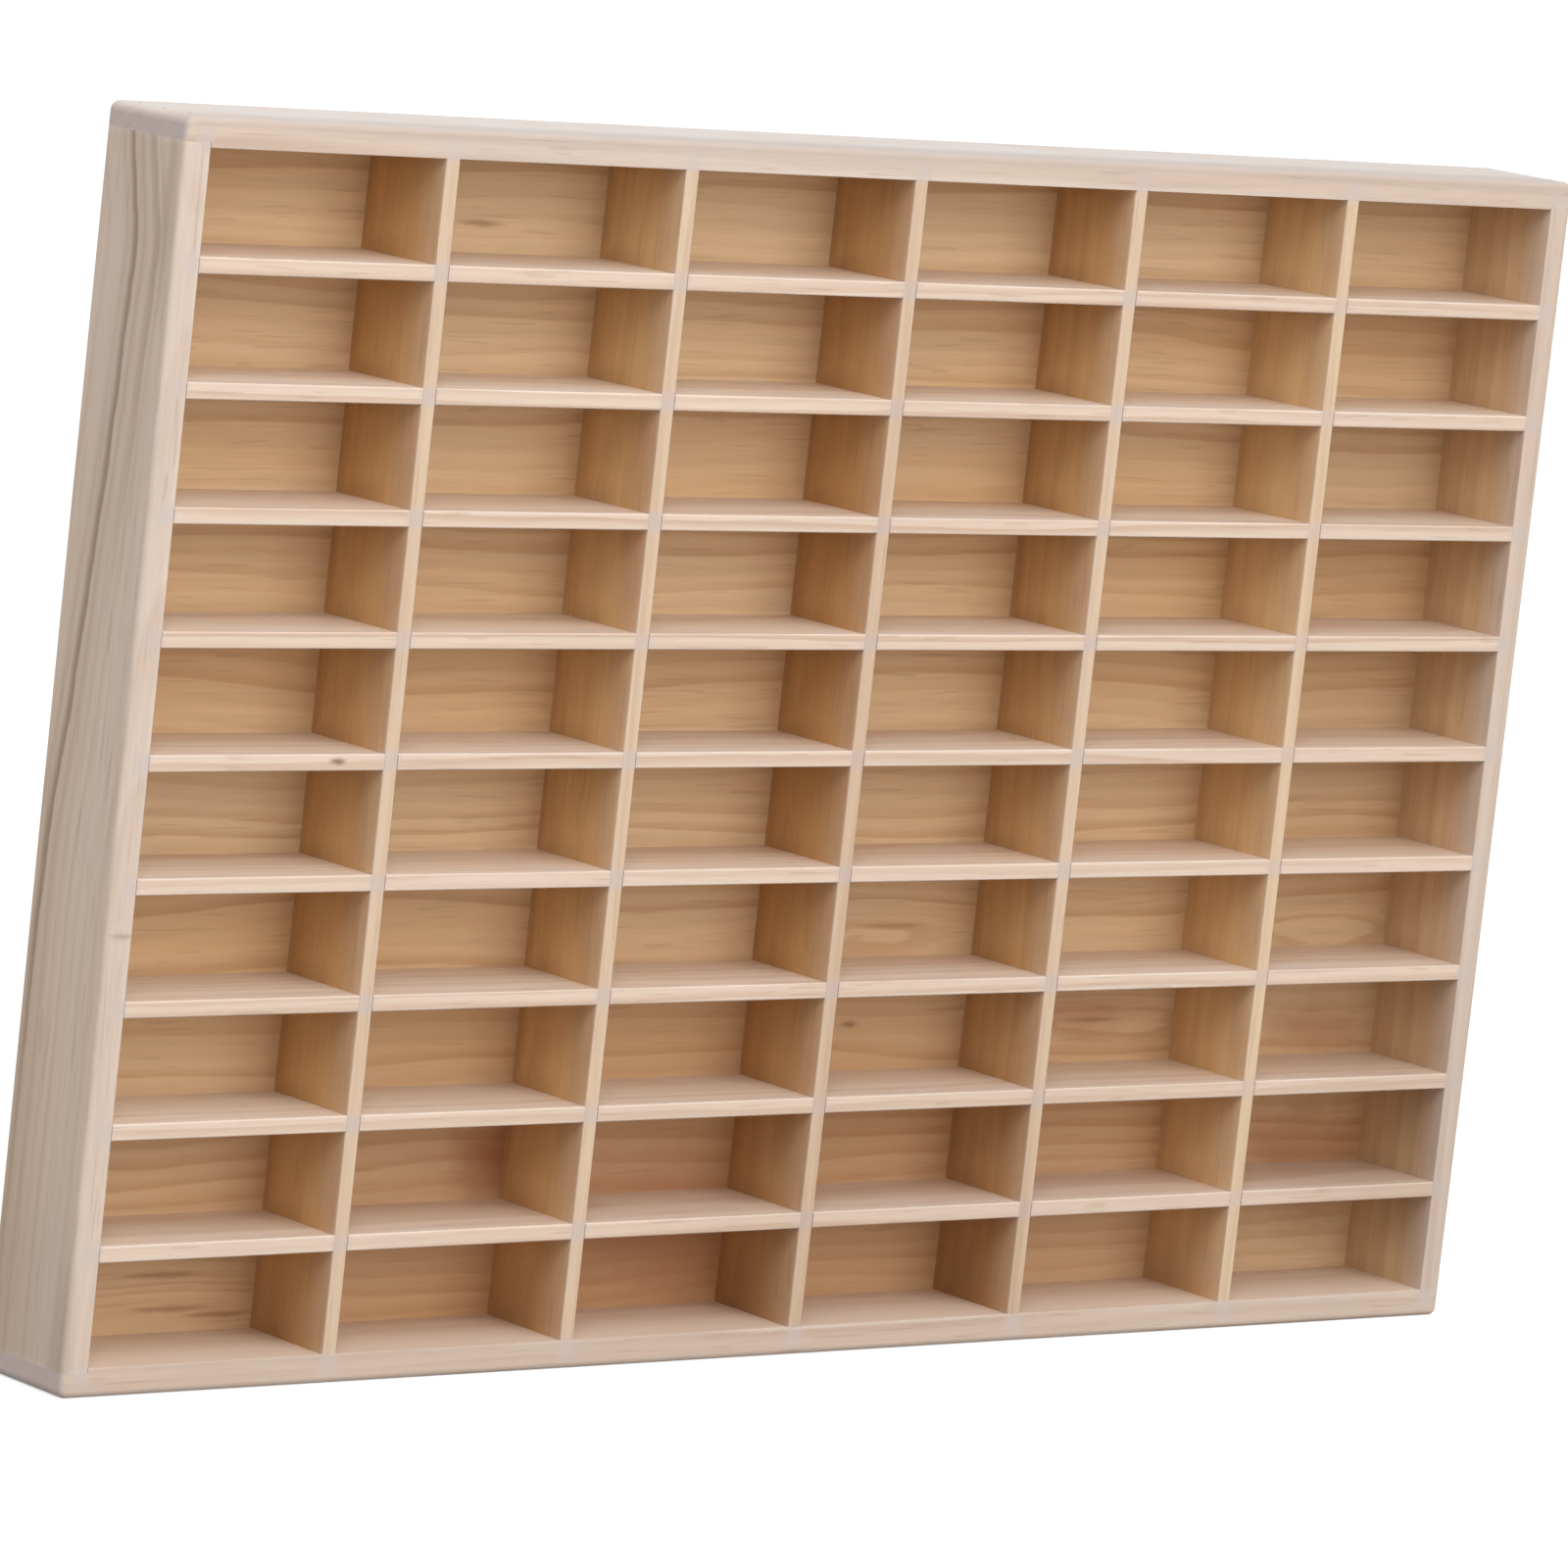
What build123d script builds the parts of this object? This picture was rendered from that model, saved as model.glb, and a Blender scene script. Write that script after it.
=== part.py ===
from build123d import *
import os

# Wooden case for small model cars: an open-fronted grid of compartments that
# stands upright on its bottom board. Millimetres. X runs along the width, the
# open front faces -Y and Z is up. The origin is the middle of the underside.

# Compartments
columns = 6
rows = 10
cell_width = 86.0
cell_height = 31.5
cell_depth = 37.0

# Board thicknesses
frame_board = 9.0
divider_board = 5.0
shelf_board = 5.0
back_board = 3.0

# Frame corners: the top and bottom boards run over the ends of the side boards,
# which sit in shallow rebates, so strips of end grain show at the sides
corner_rebate = 1.5

# Stopped housings for the ends of shelves and dividers: they run out at the
# back and stop short of the front, so the front edges show no groove
housing_depth = 2.0
housing_stop = 6.0
housing_gap = 0.1

# Cross-halving joints where a shelf and a divider pass through each other
slot_gap = 0.1

# Rebate round the back that takes the back panel flush
back_rebate = 5.0
back_gap = 0.2

# Sanded edges: the uprights and the rims of the top and underside are rounded,
# and the arrises round the openings have a narrow flat
upright_round = 2.5
rim_round = 1.5
arris = 0.5

# Brads of flat steel wire with a T head, driven slightly below the wood
brad_width = 1.25
brad_thickness = 1.0
brad_head_width = 2.0
brad_head_height = 0.9
brad_point = 1.5
brad_gap = 0.05
brad_sink = 0.2

# Brads through the top and bottom boards into the ends of the side boards
corner_brad_length = 22.0
brads_per_corner = 3

# Brads through the back panel into the frame
back_brad_length = 13.0
rows_per_back_brad = 3

# Sizes that follow
inner_width = columns * cell_width + (columns - 1) * divider_board
inner_height = rows * cell_height + (rows - 1) * shelf_board
width = inner_width + 2 * frame_board
height = inner_height + 2 * frame_board
depth = cell_depth + back_board
front = -depth / 2
back = depth / 2
panel_face = back - back_board
inner_side = inner_width / 2
inner_floor = frame_board
inner_ceiling = height - frame_board


def block(x, y, z):
    """Box between two X, two Y and two Z values."""
    size = (x[1] - x[0], y[1] - y[0], z[1] - z[0])
    middle = ((x[0] + x[1]) / 2, (y[0] + y[1]) / 2, (z[0] + z[1]) / 2)
    return Pos(*middle) * Box(*size)


def shelf_level(number):
    """Height of the middle of a shelf, number 1 being the top one."""
    return inner_ceiling - number * cell_height - (number - 0.5) * shelf_board


def divider_place(number):
    """X of the middle of a divider, number 1 being the left one."""
    return -inner_side + number * cell_width + (number - 0.5) * divider_board


def row_middle(row):
    """Height of the middle of a row of compartments, row 0 on top."""
    return inner_ceiling - row * (cell_height + shelf_board) - cell_height / 2


def column_middle(column):
    """X of the middle of a column of compartments, column 0 at the left."""
    return -inner_side + column * (cell_width + divider_board) + cell_width / 2


def frame_ring():
    """All four frame boards as one ring, sanded round inside and outside."""
    ring = block((-width / 2, width / 2), (front, back), (0, height))
    ring = fillet(ring.edges().filter_by(Axis.Z), upright_round)
    faces = ring.faces().sort_by(Axis.Z)
    ring = fillet(faces[0].edges() + faces[-1].edges(), rim_round)
    ring -= block((-inner_side, inner_side), (front, back), (inner_floor, inner_ceiling))
    front_face = ring.faces().sort_by(Axis.Y)[0]
    return chamfer(front_face.inner_wires()[0].edges(), arris)


def back_recess():
    """Space that the back rebate cuts out of the frame boards."""
    reach = inner_side + back_rebate
    heights = (inner_floor - back_rebate, inner_ceiling + back_rebate)
    return block((-reach, reach), (panel_face, back + back_board), heights)


def side_blank(side):
    """Side board before any joint is cut, side -1 being the left one."""
    x = sorted((side * inner_side, side * width / 2))
    return block(x, (front, back), (inner_floor - corner_rebate, inner_ceiling + corner_rebate))


def stopped_housing(board):
    """Groove for the end of a board of this thickness, lying along Y with its
    mouth on the plane X = 0 and the round end that the cutter leaves."""
    radius = (board + housing_gap) / 2
    nose_middle = front + housing_stop + radius
    reach = (-housing_depth, housing_depth)
    nose = Pos(0, nose_middle, 0) * Rot(0, 90, 0) * Cylinder(radius, 2 * housing_depth)
    return nose + block(reach, (nose_middle, back), (-radius, radius))


def shelf_housings(side):
    """Grooves for every shelf end in one side board."""
    groove = stopped_housing(shelf_board)
    return [Pos(side * inner_side, 0, shelf_level(n)) * groove for n in range(1, rows)]


def divider_housings(face):
    """Grooves for every divider end in the inner face at this height."""
    groove = Rot(0, 90, 0) * stopped_housing(divider_board)
    return [Pos(divider_place(n), 0, face) * groove for n in range(1, columns)]


def brad(length, gap=0.0):
    """Brad that points down, the top of its T head at the origin. With a gap
    it is the hole that such a brad needs, open above the head."""
    wire = brad_width / 2 + gap
    head = brad_head_width / 2 + gap
    crown = brad_sink + gap if gap else 0.0
    seat = -brad_head_height - gap
    right = [(head, crown), (head, seat), (wire, seat), (wire, brad_point - length)]
    left = [(-x, z) for x, z in reversed(right)]
    outline = Polyline(*right, (0, -length - gap), *left, close=True)
    return extrude(Plane.XZ * make_face(outline), brad_thickness / 2 + gap, both=True)


def corner_brad_places():
    """Places of the brads above and below the ends of both side boards."""
    places = []
    for side in (-1, 1):
        x = side * (inner_side + frame_board / 2)
        for number in range(brads_per_corner):
            y = front + (number + 0.5) * cell_depth / brads_per_corner
            places.append(Pos(x, y, height - brad_sink) * Rot(0, 0, 90))
            places.append(Pos(x, y, brad_sink) * Rot(180, 0, 90))
    return places


def back_brad_places():
    """Places of the brads round the edge of the back panel."""
    inset = back_rebate / 2
    level = back - brad_sink
    places = []
    for column in range(columns):
        x = column_middle(column)
        places.append(Pos(x, level, inner_ceiling + inset) * Rot(-90, 0, 0))
        places.append(Pos(x, level, inner_floor - inset) * Rot(-90, 0, 0))
    for row in range(0, rows, rows_per_back_brad):
        z = row_middle(row)
        places.append(Pos(-inner_side - inset, level, z) * Rot(-90, 0, 0) * Rot(0, 0, 90))
        places.append(Pos(inner_side + inset, level, z) * Rot(-90, 0, 0) * Rot(0, 0, 90))
    return places


def brads(places, length):
    """A set of equal brads, each a solid of its own."""
    return Compound([place * brad(length) for place in places])


def brad_holes():
    """Every hole that the brads make in the wood."""
    holes = [place * brad(corner_brad_length, brad_gap) for place in corner_brad_places()]
    return holes + [place * brad(back_brad_length, brad_gap) for place in back_brad_places()]


def nailed(board):
    """The board with the holes of those brads that reach into it."""
    box = board.bounding_box()
    return board - [hole for hole in brad_holes() if box.overlaps(hole.bounding_box())]


def frame_piece(blank, housings):
    """One frame board cut from the sanded ring, with all of its joints."""
    return nailed((blank & frame_ring()) - back_recess() - housings)


def side_board(side):
    return frame_piece(side_blank(side), shelf_housings(side))


def end_board(low, high, inner_face):
    """Top or bottom board between two heights, rebated for the side boards."""
    blank = block((-width / 2, width / 2), (front, back), (low, high))
    blank -= [side_blank(-1), side_blank(1)]
    return frame_piece(blank, divider_housings(inner_face))


def top_board():
    return end_board(inner_ceiling, height, inner_ceiling)


def bottom_board():
    return end_board(0, inner_floor, inner_floor)


def back_panel():
    """Thin panel that fills the back rebate and closes every compartment."""
    reach = inner_side + back_rebate - back_gap
    low = inner_floor - back_rebate + back_gap
    high = inner_ceiling + back_rebate - back_gap
    return nailed(block((-reach, reach), (panel_face, back), (low, high)))


def housed_board(length, board):
    """Flat board along X with a tongue at each end, shouldered at the front."""
    tongue = length / 2 + housing_depth - housing_gap
    shoulder = front + housing_stop + (board + housing_gap) / 2
    faces = (-board / 2, board / 2)
    shape = block((-length / 2, length / 2), (front, panel_face), faces)
    shape += block((-tongue, tongue), (shoulder, panel_face), faces)
    front_edges = shape.faces().sort_by(Axis.Y)[0].edges().filter_by(Axis.X)
    return chamfer(front_edges, arris)


def slots(places, board, start, end):
    """Slots across a flat board for crossing boards of this thickness."""
    half = (board + slot_gap) / 2
    return [block((x - half, x + half), (start, end), (-board, board)) for x in places]


def shelf(number):
    """Shelf with its slots open to the front."""
    end = (front + panel_face + slot_gap) / 2
    places = [divider_place(n) for n in range(1, columns)]
    board = housed_board(inner_width, shelf_board) - slots(places, divider_board, front, end)
    return Pos(0, 0, shelf_level(number)) * board


def divider(number):
    """Upright divider with its slots open to the back."""
    start = (front + panel_face - slot_gap) / 2
    middle = (inner_floor + inner_ceiling) / 2
    places = [shelf_level(n) - middle for n in range(1, rows)]
    board = housed_board(inner_height, divider_board)
    board = Rot(0, -90, 0) * (board - slots(places, shelf_board, start, panel_face))
    return Pos(divider_place(number), 0, middle) * board


def case():
    """Every piece of the case by name."""
    pieces = {
        "top_board": top_board(),
        "bottom_board": bottom_board(),
        "left_side_board": side_board(-1),
        "right_side_board": side_board(1),
        "back_panel": back_panel(),
        "corner_brads": brads(corner_brad_places(), corner_brad_length),
        "back_panel_brads": brads(back_brad_places(), back_brad_length),
    }
    for number in range(1, rows):
        pieces[f"shelf_{number}"] = shelf(number)
    for number in range(1, columns):
        pieces[f"divider_{number}"] = divider(number)
    return pieces


os.makedirs("parts", exist_ok=True)
for name, piece in case().items():
    export_step(piece, f"parts/{name}.step")
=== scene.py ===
import math
import random

import bmesh
import bpy
from mathutils import Euler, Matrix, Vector


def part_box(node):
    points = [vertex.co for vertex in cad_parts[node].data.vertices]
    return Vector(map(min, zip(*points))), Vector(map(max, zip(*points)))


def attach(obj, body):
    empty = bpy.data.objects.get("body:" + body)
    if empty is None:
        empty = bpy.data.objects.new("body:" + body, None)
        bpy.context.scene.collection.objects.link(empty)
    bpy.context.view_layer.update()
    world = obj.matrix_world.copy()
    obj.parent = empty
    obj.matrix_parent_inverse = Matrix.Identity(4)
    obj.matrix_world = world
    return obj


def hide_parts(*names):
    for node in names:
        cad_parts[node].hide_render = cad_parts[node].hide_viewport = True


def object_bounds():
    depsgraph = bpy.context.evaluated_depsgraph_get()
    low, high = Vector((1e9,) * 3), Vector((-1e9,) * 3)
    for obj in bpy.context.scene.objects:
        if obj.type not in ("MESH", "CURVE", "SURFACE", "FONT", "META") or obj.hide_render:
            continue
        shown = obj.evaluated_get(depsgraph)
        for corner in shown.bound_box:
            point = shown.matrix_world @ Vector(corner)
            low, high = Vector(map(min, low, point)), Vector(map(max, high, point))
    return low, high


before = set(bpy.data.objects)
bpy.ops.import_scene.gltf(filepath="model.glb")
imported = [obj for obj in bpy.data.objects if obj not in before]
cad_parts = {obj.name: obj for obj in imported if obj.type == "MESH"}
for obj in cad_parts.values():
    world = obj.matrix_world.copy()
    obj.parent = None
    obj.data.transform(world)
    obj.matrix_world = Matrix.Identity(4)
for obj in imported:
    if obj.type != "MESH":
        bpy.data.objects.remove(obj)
cad_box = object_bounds()

MM = 0.001
X, Y, Z = 0, 1, 2

SHELVES = 9
DIVIDERS = 5
COLUMNS = DIVIDERS + 1
ROWS = SHELVES + 1


def middle(node, axis):
    """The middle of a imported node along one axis."""
    low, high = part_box(node)
    return (low[axis] + high[axis]) / 2


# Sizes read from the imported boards, in metres
CASE_LOW, CASE_HIGH = cad_box
FRONT, BACK = CASE_LOW.y, CASE_HIGH.y
OUTER_SIDE = CASE_HIGH.x
TOP = CASE_HIGH.z
INNER_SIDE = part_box("right_side_board")[0].x
INNER_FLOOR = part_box("bottom_board")[1].z
INNER_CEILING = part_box("top_board")[0].z
PANEL_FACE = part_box("back_panel")[0].y
SHELF_LEVELS = [middle(f"shelf_{n + 1}", Z) for n in range(SHELVES)]
DIVIDER_PLACES = [middle(f"divider_{n + 1}", X) for n in range(DIVIDERS)]
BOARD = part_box("shelf_1")[1].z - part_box("shelf_1")[0].z
SHELF_PITCH = SHELF_LEVELS[0] - SHELF_LEVELS[1]
DIVIDER_PITCH = DIVIDER_PLACES[1] - DIVIDER_PLACES[0]

# Joints, as in the solids
CORNER_REBATE = 1.5 * MM
BACK_REBATE = 5 * MM
HOUSING_DEPTH = 2 * MM
HOUSING_STOP = 6 * MM
SLIP = 0.1 * MM

# Sanded edges, the outer ones a little rounder than in the solids
TOP_CORNER_ROUND = 3.0 * MM
FOOT_CORNER_ROUND = 2.6 * MM
RIM_ROUND = 2.2 * MM
ARRIS = 0.5 * MM
SOFT_ARRIS = 0.15 * MM
CORNER_STEPS, RIM_STEPS, GRID_STEPS, ARRIS_STEPS = 10, 6, 3, 2

# Brads of flat wire, as in the solids: half sizes across, whole ones along
BRAD_HEAD, BRAD_WIRE, BRAD_THICK = 1.0 * MM, 0.625 * MM, 0.5 * MM
BRAD_CROWN, BRAD_POINT = 0.9 * MM, 1.5 * MM
BRAD_SINK = 0.2 * MM
BRAD_FIT = 0.05 * MM
HOLE_NARROW, HOLE_WIDE = 2 * (BRAD_THICK + BRAD_FIT), 2 * (BRAD_HEAD + BRAD_FIT)
BRAD_ARRIS = 0.12 * MM
CORNER_BRAD_LENGTH = 22 * MM
BACK_BRAD_LENGTH = 13 * MM
BRADS_PER_CORNER = 3
ROWS_PER_BACK_BRAD = 3
BRAD_STEP = (PANEL_FACE - FRONT) / BRADS_PER_CORNER
FIRST_BRAD = FRONT + BRAD_STEP / 2
BRAD_WANDER = math.radians(1.5)

# How far a cutter runs past the wood, and the angle that still counts as rounded
PAST = 2 * MM
CRISP_ANGLE = math.radians(32)

# The dark line down the left side board: share of the way down, share of the way from the back
HEART_LINE = [(0.0, 0.33), (0.03, 0.37), (0.07, 0.46), (0.106, 0.515), (0.16, 0.49), (0.26, 0.44),
              (0.37, 0.35), (0.48, 0.26), (0.58, 0.15), (0.7, 0.12), (1.0, 0.09)]


def mesh_piece(name, bm):
    """A new object at the origin whose mesh is this one."""
    mesh = bpy.data.meshes.new(name)
    bm.to_mesh(mesh)
    bm.free()
    piece = bpy.data.objects.new(name, mesh)
    bpy.context.scene.collection.objects.link(piece)
    return piece


# Geometry Nodes

def node_tree(name, kind, inputs, outputs):
    """A node tree with named sockets, and its input and output nodes."""
    tree = bpy.data.node_groups.new(name, kind)
    for way, sockets in (("INPUT", inputs), ("OUTPUT", outputs)):
        for socket_name, socket_kind, *start in sockets:
            socket = tree.interface.new_socket(socket_name, in_out=way, socket_type=socket_kind)
            if start:
                socket.default_value = start[0]
    return tree, tree.nodes.new("NodeGroupInput"), tree.nodes.new("NodeGroupOutput")


def add_node(tree, kind, links=(), **settings):
    """A node with these settings; links maps its inputs to other sockets or plain values."""
    node = tree.nodes.new(kind)
    for setting, value in settings.items():
        setattr(node, setting, value)
    for key, value in dict(links).items():
        if isinstance(value, bpy.types.NodeSocket):
            tree.links.new(value, node.inputs[key])
        else:
            node.inputs[key].default_value = value
    return node


def row_points(tree, given):
    """Points in a straight row, from the tree's Count, First and Step."""
    sockets = {"Count": given.outputs["Count"], "Start Location": given.outputs["First"],
               "Offset": given.outputs["Step"]}
    return add_node(tree, "GeometryNodeMeshLine", sockets, mode="OFFSET").outputs["Mesh"]


def dress(tree, result, geometry, material):
    """Ends a tree: makes its copies real and gives everything one material."""
    whole = add_node(tree, "GeometryNodeRealizeInstances", {0: geometry})
    dressed = add_node(tree, "GeometryNodeSetMaterial",
                       {"Geometry": whole.outputs[0], "Material": material})
    tree.links.new(dressed.outputs[0], result.inputs[0])


def make_cut_row():
    """Cuts a row of equal rectangular notches, as a saw or a router with a stop would."""
    tree, given, result = node_tree(
        "notch_row", "GeometryNodeTree",
        [("Geometry", "NodeSocketGeometry"), ("Count", "NodeSocketInt", 1),
         ("First", "NodeSocketVector"), ("Step", "NodeSocketVector"),
         ("Size", "NodeSocketVector"), ("Wood", "NodeSocketMaterial")],
        [("Geometry", "NodeSocketGeometry")])
    cutter = add_node(tree, "GeometryNodeMeshCube", {"Size": given.outputs["Size"]})
    placed = add_node(tree, "GeometryNodeInstanceOnPoints",
                      {"Points": row_points(tree, given), "Instance": cutter.outputs["Mesh"]})
    cutters = add_node(tree, "GeometryNodeRealizeInstances", {0: placed.outputs["Instances"]})
    cut = add_node(tree, "GeometryNodeMeshBoolean",
                   {"Mesh 1": given.outputs["Geometry"], "Mesh 2": cutters.outputs[0]},
                   operation="DIFFERENCE", solver="EXACT")
    dress(tree, result, cut.outputs["Mesh"], given.outputs["Wood"])
    return tree


def make_brad_row():
    """Adds a row of brads, each turned a little differently, to what is there already."""
    tree, given, result = node_tree(
        "brad_row", "GeometryNodeTree",
        [("Geometry", "NodeSocketGeometry"), ("Brad", "NodeSocketObject"),
         ("Count", "NodeSocketInt", 1), ("First", "NodeSocketVector"),
         ("Step", "NodeSocketVector"), ("Aim", "NodeSocketVector"),
         ("Wander", "NodeSocketFloat", 0.0), ("Seed", "NodeSocketInt", 0),
         ("Steel", "NodeSocketMaterial")],
        [("Geometry", "NodeSocketGeometry")])
    brad = add_node(tree, "GeometryNodeObjectInfo", {"Object": given.outputs["Brad"]})
    least = add_node(tree, "ShaderNodeMath", {0: given.outputs["Wander"], 1: -1.0},
                     operation="MULTIPLY")
    low = add_node(tree, "ShaderNodeCombineXYZ", {"Z": least.outputs[0]})
    high = add_node(tree, "ShaderNodeCombineXYZ", {"Z": given.outputs["Wander"]})
    turn = add_node(tree, "FunctionNodeRandomValue",
                    {0: low.outputs[0], 1: high.outputs[0], "Seed": given.outputs["Seed"]},
                    data_type="FLOAT_VECTOR")
    aim = add_node(tree, "FunctionNodeEulerToRotation", {0: given.outputs["Aim"]})
    own = add_node(tree, "FunctionNodeEulerToRotation", {0: turn.outputs[0]})
    both = add_node(tree, "FunctionNodeRotateRotation",
                    {"Rotation": aim.outputs[0], "Rotate By": own.outputs[0]},
                    rotation_space="LOCAL")
    placed = add_node(tree, "GeometryNodeInstanceOnPoints",
                      {"Points": row_points(tree, given), "Instance": brad.outputs["Geometry"],
                       "Rotation": both.outputs[0]})
    joined = add_node(tree, "GeometryNodeJoinGeometry")
    tree.links.new(given.outputs["Geometry"], joined.inputs[0])
    tree.links.new(placed.outputs["Instances"], joined.inputs[0])
    dress(tree, result, joined.outputs[0], given.outputs["Steel"])
    return tree


def add_row(piece, tree, **values):
    """Puts the tree on the piece as a modifier with these named inputs."""
    modifier = piece.modifiers.new(tree.name, "NODES")
    modifier.node_group = tree
    for item in tree.interface.items_tree:
        value = values.get(item.name.lower())
        if item.in_out == "INPUT" and value is not None:
            modifier[item.identifier] = value


def settle(piece):
    """Makes the piece a plain mesh: crisp where it was cut, evenly shaded where it was rounded."""
    for again in (False, True):
        shown = piece.evaluated_get(bpy.context.evaluated_depsgraph_get())
        mesh = bpy.data.meshes.new_from_object(shown)
        piece.modifiers.clear()
        piece.data = mesh
        if not again:
            mesh.polygons.foreach_set("use_smooth", [True] * len(mesh.polygons))
            mesh.set_sharp_from_angle(angle=CRISP_ANGLE)
            even = piece.modifiers.new("even", "WEIGHTED_NORMAL")
            even.keep_sharp = True
            even.weight = 100
    mesh.name = piece.name


# Shader node groups

FLOAT, VECTOR, COLOUR = "NodeSocketFloat", "NodeSocketVector", "NodeSocketColor"


class Wiring:
    """Short names for the shader nodes that the wood and steel are made of."""

    def __init__(self, tree):
        self.tree = tree

    def node(self, kind, links=(), **settings):
        return add_node(self.tree, kind, links, **settings)

    def math(self, operation, *values, clamp=False):
        links = dict(enumerate(values))
        return self.node("ShaderNodeMath", links, operation=operation, use_clamp=clamp).outputs[0]

    def product(self, first, second):
        return self.math("MULTIPLY", first, second)

    def vector(self, operation, *values):
        return self.node("ShaderNodeVectorMath", dict(enumerate(values)), operation=operation)

    def split(self, vector):
        return self.node("ShaderNodeSeparateXYZ", {0: vector}).outputs

    def normal(self):
        """Which way the surface faces."""
        return self.node("ShaderNodeNewGeometry").outputs["Normal"]

    def object_place(self):
        return self.node("ShaderNodeTexCoord").outputs["Object"]

    def noise(self, place, stretch, detail=2.0, roughness=0.5):
        """Noise with so many waves to the metre along each axis of the place."""
        spread = self.vector("MULTIPLY", place, stretch).outputs[0]
        links = {"Vector": spread, "Scale": 1.0, "Detail": detail, "Roughness": roughness}
        return self.node("ShaderNodeTexNoise", links).outputs["Fac"]

    def rise(self, value, start, end, low=0.0, high=1.0):
        """Goes smoothly from low to high as the value goes from start to end."""
        links = {"Value": value, "From Min": start, "From Max": end, "To Min": low, "To Max": high}
        node = self.node("ShaderNodeMapRange", links, interpolation_type="SMOOTHSTEP")
        return node.outputs["Result"]

    def middle_of(self, first, second, third):
        """The middle one of three values."""
        low, high = self.math("MINIMUM", first, second), self.math("MAXIMUM", first, second)
        return self.math("MAXIMUM", low, self.math("MINIMUM", high, third))

    def blend(self, share, first, second, how="MIX"):
        """Goes from the first colour to the second by this share."""
        links = {0: share, 6: first, 7: second}
        return self.node("ShaderNodeMix", links, data_type="RGBA", blend_type=how).outputs[2]

    def tinted(self, share, colour, tint):
        """The colour, multiplied by the tint where the share says so."""
        return self.blend(share, colour, self.blend(1.0, colour, tint, "MULTIPLY"))

    def read(self, attribute, output="Vector"):
        return self.node("ShaderNodeAttribute", attribute_name=attribute).outputs[output]

    def place(self, group, **values):
        """A node group in this tree, its inputs named in lower case with underscores."""
        links = {name.replace("_", " ").title(): value for name, value in values.items()}
        return self.node("ShaderNodeGroup", links, node_tree=group).outputs

    def put_out(self, result, **values):
        """Links these values to the group's outputs of the same names."""
        for name, value in values.items():
            self.tree.links.new(value, result.inputs[name.replace("_", " ").title()])


def shade(red, green, blue):
    """A colour given as it looks on a screen, 0 to 255, as Blender wants it."""
    def linear(value):
        value /= 255
        return value / 12.92 if value < 0.04045 else ((value + 0.055) / 1.055) ** 2.4
    return linear(red), linear(green), linear(blue), 1.0


def grey(value):
    return shade(value, value, value)


def make_growth_rings():
    """Year rings round the pith: a slow turn to dark late wood, then a sharp edge."""
    tree, given, result = node_tree(
        "growth_rings", "ShaderNodeTree",
        [("Grain", VECTOR), ("Spacing", FLOAT, 3 * MM), ("Waver", FLOAT, 1.0), ("Swell", FLOAT, 0.0)],
        [("Late Wood", FLOAT)])
    w = Wiring(tree)
    grain = given.outputs["Grain"]
    _, across, through = w.split(grain)
    square = w.math("ADD", w.math("POWER", across, 2.0), w.math("POWER", through, 2.0))
    radius = w.math("SQRT", square)
    broad = w.product(w.math("SUBTRACT", w.noise(grain, (4, 16, 16)), 0.5), 12 * MM)
    small = w.product(w.math("SUBTRACT", w.noise(grain, (22, 140, 140), 3.0), 0.5), 1.1 * MM)
    bend = w.product(w.math("ADD", broad, small), given.outputs["Waver"])
    count = w.math("DIVIDE", w.math("ADD", radius, bend), given.outputs["Spacing"])
    count = w.math("ADD", count, given.outputs["Swell"])
    share = w.math("FRACT", count)
    late = w.product(w.rise(share, 0.2, 0.84), w.rise(share, 0.86, 1.0, 1.0, 0.0))
    year = w.node("ShaderNodeTexWhiteNoise", {"W": w.math("FLOOR", count)}, noise_dimensions="1D")
    weight = w.rise(year.outputs["Value"], 0.0, 1.0, 0.2, 1.0)
    w.put_out(result, late_wood=w.product(late, weight))
    return tree


def make_fibres():
    """Fine streaks along the grain, with short resin flecks."""
    tree, given, result = node_tree(
        "fibres", "ShaderNodeTree", [("Grain", VECTOR)], [("Streak", FLOAT), ("Fleck", FLOAT)])
    w = Wiring(tree)
    grain = given.outputs["Grain"]
    fine = w.noise(grain, (60, 1300, 1300), 2.0, 0.6)
    coarse = w.noise(grain, (12, 360, 360), 2.0, 0.55)
    w.put_out(result, streak=w.math("ADD", w.product(fine, 0.45), w.product(coarse, 0.55)),
              fleck=w.rise(w.noise(grain, (50, 900, 900), 0.0), 0.7, 0.78))
    return tree


def make_sanding():
    """Where sanding has been: along a board's edges, unevenly, and over its front; and painted light
    that fades in over the faces from the front.
    """
    tree, given, result = node_tree(
        "sanding", "ShaderNodeTree",
        [("Place", VECTOR), ("Half", VECTOR), ("Reach", FLOAT, 1.5 * MM)],
        [("Rubbed", FLOAT), ("Front", FLOAT)])
    w = Wiring(tree)
    place, half = given.outputs["Place"], given.outputs["Half"]
    from_face = w.vector("SUBTRACT", half, w.vector("ABSOLUTE", place).outputs[0]).outputs[0]
    from_edge = w.middle_of(*w.split(from_face))
    uneven = w.noise(place, (90, 90, 90), 3.0)
    reach = w.product(given.outputs["Reach"], w.product(uneven, 2.0))
    rubbed = w.math("SUBTRACT", 1.0, w.math("DIVIDE", from_edge, reach), clamp=True)
    deep = w.math("ADD", w.split(place)[1], w.split(half)[1])
    edge = w.rise(w.math("ADD", deep, w.product(uneven, 1 * MM)), 0.8 * MM, 3 * MM, 1.0, 0.0)
    # Painted light: paler from the front some 19 mm in, where light falls in at the openings
    front_light_fade = w.rise(w.math("ADD", deep, w.product(uneven, 6 * MM)), 2 * MM, 19 * MM, 0.6, 0.0)
    w.put_out(result, rubbed=rubbed, front=w.math("MAXIMUM", edge, front_light_fade))
    return tree


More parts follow.
